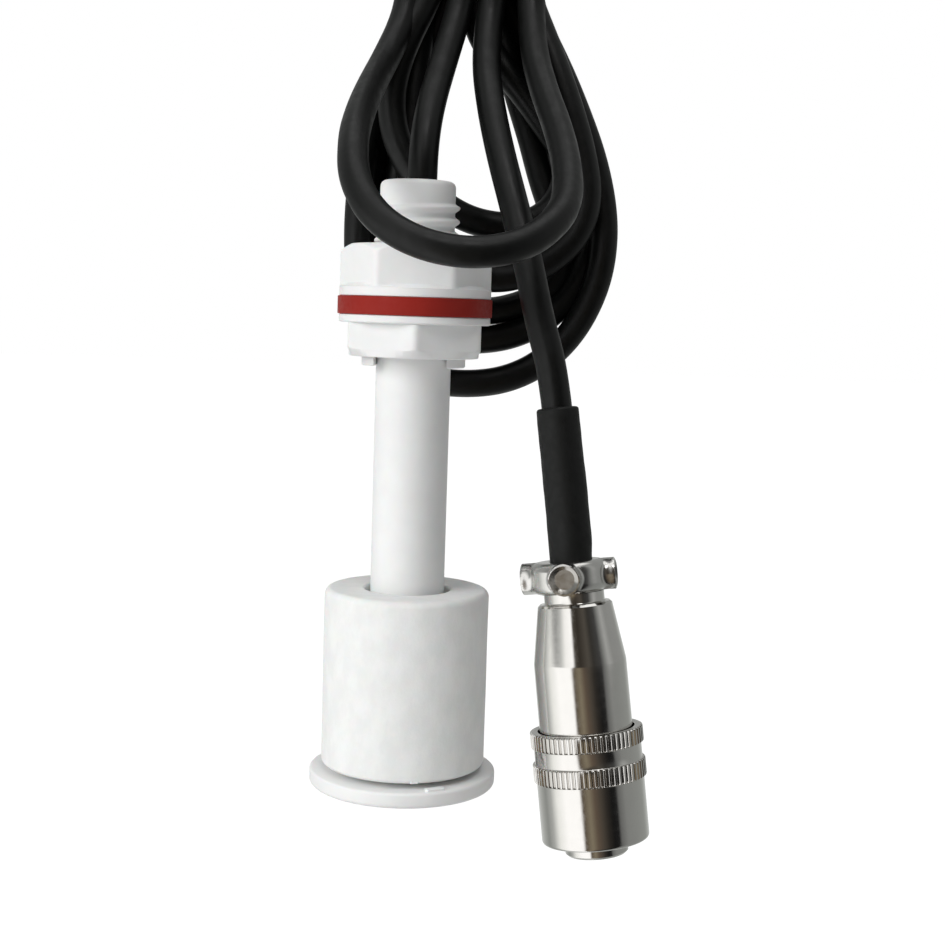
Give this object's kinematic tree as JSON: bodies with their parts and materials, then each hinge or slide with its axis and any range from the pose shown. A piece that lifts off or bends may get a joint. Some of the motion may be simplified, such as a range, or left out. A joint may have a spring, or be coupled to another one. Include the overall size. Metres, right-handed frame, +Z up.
{
  "type": "float level switch",
  "caption": "Small vertical float level switch: threaded neck with lock nut and red gasket, stem with sliding float, tied black cable and a round metal connector.",
  "frame": {"origin": "centre of the flange's sealing face, on the stem's axis", "axes": "+Z up the stem's axis from the float to the threaded neck; -Y towards the viewer, +X towards the connector's side"},
  "size_m": [0.0469, 0.0642, 0.175],
  "materials": {
    "white_plastic": "white moulded polypropylene, satin",
    "float_plastic": "foamed white polypropylene, mottled satin",
    "ferrite": "sintered ferrite, matt",
    "red_rubber": "red silicone rubber, satin",
    "capsule_glass": "clear greenish glass",
    "reed_metal": "nickel-iron reed, dull",
    "clear_sleeve": "translucent sleeve",
    "wire_black": "insulated core, black",
    "wire_red": "insulated core, red",
    "resin": "pale potting resin",
    "cable_jacket": "black cable jacket, satin",
    "tie_plastic": "black nylon",
    "sleeve_rubber": "black shrink tube, satin",
    "plated_metal": "satin nickel plating",
    "screw_steel": "plain steel",
    "insulator_plastic": "black thermoset",
    "contact_metal": "gold-plated brass"
  },
  "bodies": {
    "switch": {"switch_body": "white_plastic", "stop_disc": "white_plastic", "gasket": "red_rubber", "reed_glass": "capsule_glass", "reed_upper": "reed_metal", "reed_lower": "reed_metal", "reed_sleeve": "clear_sleeve", "lead_wire_upper": "wire_black", "lead_wire_lower": "wire_red", "potting": "resin", "cable_lead": "cable_jacket", "cable_front_loop": "cable_jacket", "cable_hank": "cable_jacket", "cable_tie": "tie_plastic", "cable_tail": "cable_jacket", "shrink_sleeve": "sleeve_rubber", "cable_clamp": "plated_metal", "clamp_screws": "screw_steel", "backshell": "plated_metal", "insert_shell": "plated_metal", "insulator": "insulator_plastic", "contacts": "contact_metal", "plug_wires": "wire_black"},
    "float": {"float_body": "float_plastic", "float_magnet": "ferrite", "float_plug": "float_plastic"},
    "nut": {"lock_nut": "white_plastic"},
    "ring": {"coupling_ring": "plated_metal"}
  },
  "joints": [
    {"name": "float_slide", "type": "slide", "parent": "switch", "child": "float", "axis": [0, 0, 1], "range_m": [0, 0.031]},
    {"name": "nut_travel", "type": "slide", "parent": "switch", "child": "nut", "axis": [0, 0, 1], "range_m": [0, 0.009]},
    {"name": "coupling_ring_turn", "type": "hinge", "parent": "switch", "child": "ring", "pos_m": [0.0228, -0.0134, -0.037], "axis": [-0.1221, 0.09, 0.9884], "continuous": true}
  ]
}
